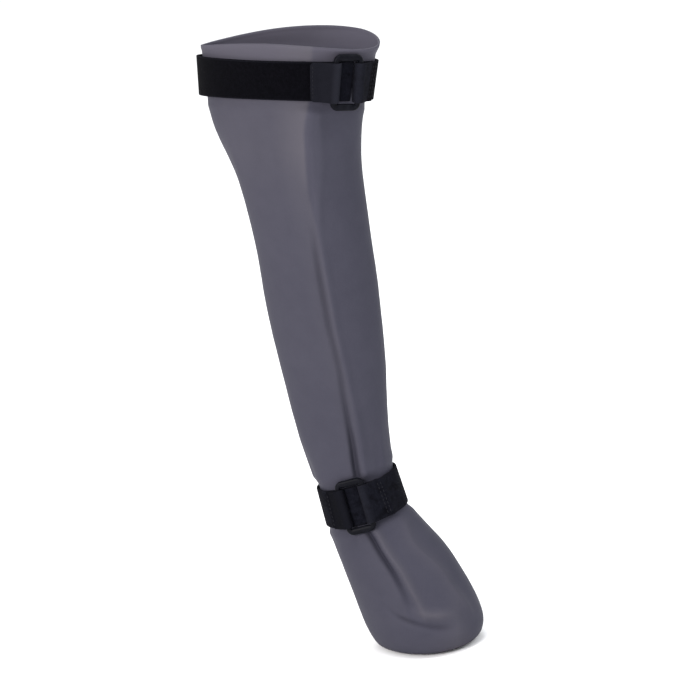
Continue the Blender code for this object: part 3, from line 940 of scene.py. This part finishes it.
def make_webbing(name, path, wear, material, corner=0.0):
    """A strip of webbing along pairs of edges, with rounded selvedges and a UV map in metres.

    wear gives each trait's value at each pair, here a tone share (lighter on a band, painted shade
    on a hook tab) and a painted highlight, and corner rounds the strip's last two corners.
    """
    bm = bmesh.new()
    layers = {trait: bm.verts.layers.float.new(trait) for trait in wear}
    uv = bm.loops.layers.uv.new("webbing")
    bmesh.ops.create_grid(bm, x_segments=len(path) - 1, y_segments=ROWS_ACROSS, size=0.5)
    middles = [(low + high) / 2 for low, high in path]
    lengths = [0.0]
    for here, there in zip(middles, middles[1:]):
        lengths.append(lengths[-1] + (there - here).length)
    spots = {}
    for vert in bm.verts:
        column = round((vert.co.x + 0.5) * (len(path) - 1))
        across = vert.co.y + 0.5
        spots[vert] = (lengths[column], across * STRAP_WIDTH)
        for trait, layer in layers.items():
            vert[layer] = wear[trait][column]
        low, high = path[column]
        left = lengths[-1] - lengths[column]
        if left < corner:
            inset = corner - (corner**2 - (corner - left) ** 2) ** 0.5
            across = 0.5 + (across - 0.5) * (1 - 2 * inset / STRAP_WIDTH)
        vert.co = low.lerp(high, across)
    for face in bm.faces:
        for loop in face.loops:
            loop[uv].uv = spots[loop.vert]
    strip = add_piece(name, mesh_from(bm, name), material)
    wall = strip.modifiers.new("webbing", "SOLIDIFY")
    wall.thickness = WEBBING
    wall.offset = 0
    wall.use_even_offset = True
    rounding = strip.modifiers.new("selvedge", "BEVEL")
    rounding.width = EDGE_ROUNDING
    rounding.segments = EDGE_SEGMENTS
    rounding.limit_method = "ANGLE"
    rounding.angle_limit = EDGE_ANGLE
    return strip


def make_buckle(name, loop, material):
    """A moulded rectangular loop: a rounded flat section carried round its four corners."""
    middle = (loop.bars[1] + loop.bars[-1]) / 2
    half_width = (loop.bars[1] - loop.bars[-1]).length / 2
    out = loop.across.cross(loop.bar_up)
    turned = Matrix((loop.across, loop.bar_up, out)).transposed().to_4x4()
    to_place = Matrix.Translation(middle) @ turned
    bm = bmesh.new()
    slot_of = bm.verts.layers.int.new("slot")
    section = bmesh.ops.create_circle(bm, segments=BAR_POINTS, radius=BAR_RADIUS)
    for vert in section["verts"]:
        for axis in (0, 1):
            side = vert.co[axis] / BAR_RADIUS
            sign = 1 if side > 0 else -1
            vert.co[axis] = BAR_RADIUS * (abs(side) ** BAR_SQUARENESS) * sign * BAR_FILL
    shape = [vert.co.copy() for vert in section["verts"]]
    for number, vert in enumerate(section["verts"]):
        vert[slot_of] = number
    stations = []
    corners = [(1, 1), (-1, 1), (-1, -1), (1, -1)]
    for quarter, (side, end) in enumerate(corners):
        for angle in spread(quarter * pi / 2, (quarter + 1) * pi / 2, CORNER_POINTS):
            radial = Vector((cos(angle), sin(angle), 0))
            place = radial * BUCKLE_CORNER + Vector((
                side * (half_width - BUCKLE_CORNER),
                end * (BUCKLE_HALF_HEIGHT - BUCKLE_CORNER),
                0,
            ))
            stations.append((place, radial))

    def put(verts, place, radial):
        """The short bars are broader than the long ones, towards the opening."""
        for vert in verts:
            flat = shape[vert[slot_of]]
            broad = 1 + SHORT_BAR_EXTRA * radial.y**2 if flat.x < 0 else 1
            vert.co = place + radial * flat.x * broad + Vector((0, 0, 1)) * flat.y

    put(section["verts"], *stations[0])
    first = list(bm.edges)
    edges = first
    for place, radial in stations[1:]:
        edges, verts = extrude_ring(bm, edges)
        put(verts, place, radial)
    bmesh.ops.bridge_loops(bm, edges=first + edges)
    bmesh.ops.recalc_face_normals(bm, faces=bm.faces)
    bmesh.ops.transform(bm, matrix=to_place, verts=bm.verts)
    return add_piece(name, mesh_from(bm, name), material)


def make_stitches(name, rows, material):
    """Rows of short stitches. A row is its two ends and the way out of the webbing."""
    bm = bmesh.new()
    for start, end, out in rows:
        run = end - start
        count = int(run.length / (STITCH_LENGTH + STITCH_GAP))
        side = run.normalized()
        lean = out.cross(side)
        turned = Matrix((side, lean, out)).transposed().to_4x4()
        for number in range(count):
            place = start + run * ((number + 0.5) / count)
            stretch = Matrix.Diagonal((STITCH_LENGTH / 2 / THREAD_RADIUS, 1, 1, 1))
            matrix = Matrix.Translation(place) @ turned @ stretch
            bmesh.ops.create_uvsphere(bm, u_segments=THREAD_SIDES, v_segments=THREAD_RINGS,
                                      radius=THREAD_RADIUS, matrix=matrix)
    return add_piece(name, mesh_from(bm, name), material)


def stitch_row(loop, distance, height):
    """The two ends of a row across the webbing, at a height of its outer face."""
    low, high = loop.lifted(distance, height)
    _, _, _, out = loop.directions(distance)
    side = (high - low).normalized()
    return low + side * STITCH_INSET, high - side * STITCH_INSET, out


def make_strap(strap, loop_webbing, hook_webbing, plastic, thread):
    """The band, its hook-faced tab, its buckle and three rows of stitches."""
    loop = StrapLoop(strap)
    band = make_webbing(f"{strap.name}_band", *band_path(strap, loop), loop_webbing)
    tab = make_webbing(f"{strap.name}_hook_tab", *tab_path(strap, loop), hook_webbing, TAB_CORNER)
    buckle = make_buckle(f"{strap.name}_slide_buckle", loop, plastic)
    face = SECOND_LAYER + WEBBING / 2
    seams = [LAYER_MEETS + seam for seam in BAND_SEAMS] + [-strap.tab_end + TAB_HEM]
    rows = [stitch_row(loop, seam, face) for seam in seams]
    stitches = make_stitches(f"{strap.name}_stitches", rows, thread)
    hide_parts(f"{strap.name}_strap")
    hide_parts(f"{strap.name}_tab")
    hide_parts(f"{strap.name}_buckle")
    for piece in (band, tab, buckle, stitches):
        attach(piece, "root")


# ---- stage ---------------------------------------------------------------------------------

FLOOR_REACH = 6.0
AIM = Vector((5 * MM, 0, 205 * MM))
CAMERA_AZIMUTH = 32
CAMERA_ELEVATION = 14
CAMERA_DISTANCE = 2.45
CAMERA_ROLL = radians(-10)
CAMERA_LENS = 191.4
SENSOR_WIDTH = 36
WORLD_LIGHT = (0.98, 0.99, 1.0)
WORLD_STRENGTH = 1.07

Light = namedtuple("Light", "name azimuth elevation size power colour")
LIGHTS = [
    Light("key", azimuth=-8, elevation=25, size=0.9, power=41, colour=(1.0, 0.96, 0.95)),
    Light("front", azimuth=108, elevation=35, size=1.0, power=15, colour=(0.95, 0.97, 1.0)),
    Light("top", azimuth=40, elevation=75, size=1.0, power=16, colour=(0.98, 0.98, 1.0)),
    Light("back", azimuth=212, elevation=40, size=1.0, power=8, colour=(0.95, 0.97, 1.0)),
]
LIGHT_DISTANCE = 2.2


def make_floor():
    bm = bmesh.new()
    bmesh.ops.create_grid(bm, x_segments=4, y_segments=4, size=FLOOR_REACH)
    floor = add_piece("floor", mesh_from(bm, "floor"), floor_finish())


def aim(thing, target, roll=0.0):
    back = (thing.location - target).normalized()
    turned = back.to_track_quat("Z", "Y").to_matrix() @ Matrix.Rotation(roll, 3, "Z")
    thing.rotation_euler = turned.to_euler()


def around(azimuth, elevation, distance):
    """A place round the object. Azimuth 0 is in front of the near side, 90 in front of the toe."""
    a, e = radians(azimuth), radians(elevation)
    return Vector((sin(a) * cos(e), -cos(a) * cos(e), sin(e))) * distance


def add_light(light):
    data = bpy.data.lights.new(light.name, "AREA")
    data.shape = "DISK"
    data.size = light.size
    data.energy = light.power
    data.color = light.colour
    lamp = bpy.data.objects.new(light.name, data)
    lamp.location = AIM + around(light.azimuth, light.elevation, LIGHT_DISTANCE)
    aim(lamp, AIM)
    bpy.context.scene.collection.objects.link(lamp)


def add_camera():
    data = bpy.data.cameras.new("camera")
    data.lens = CAMERA_LENS
    data.sensor_width = SENSOR_WIDTH
    camera = bpy.data.objects.new("camera", data)
    camera.location = AIM + around(CAMERA_AZIMUTH, CAMERA_ELEVATION, CAMERA_DISTANCE)
    aim(camera, AIM, CAMERA_ROLL)
    bpy.context.scene.collection.objects.link(camera)
    bpy.context.scene.camera = camera


def light_scene():
    world = bpy.data.worlds.new("studio")
    world.use_nodes = True
    sky = world.node_tree.nodes["Background"]
    sky.inputs["Color"].default_value = (*WORLD_LIGHT, 1.0)
    sky.inputs["Strength"].default_value = WORLD_STRENGTH
    bpy.context.scene.world = world
    bpy.context.scene.view_settings.view_transform = "Standard"
    for light in LIGHTS:
        add_light(light)


def main():
    sock = make_sock(silicone_finish())
    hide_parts("sock")
    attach(sock, "root")
    finishes = loop_finish(), hook_finish(), buckle_finish(), thread_finish()
    for strap in STRAPS:
        make_strap(strap, *finishes)
    make_floor()
    add_camera()
    light_scene()


main()
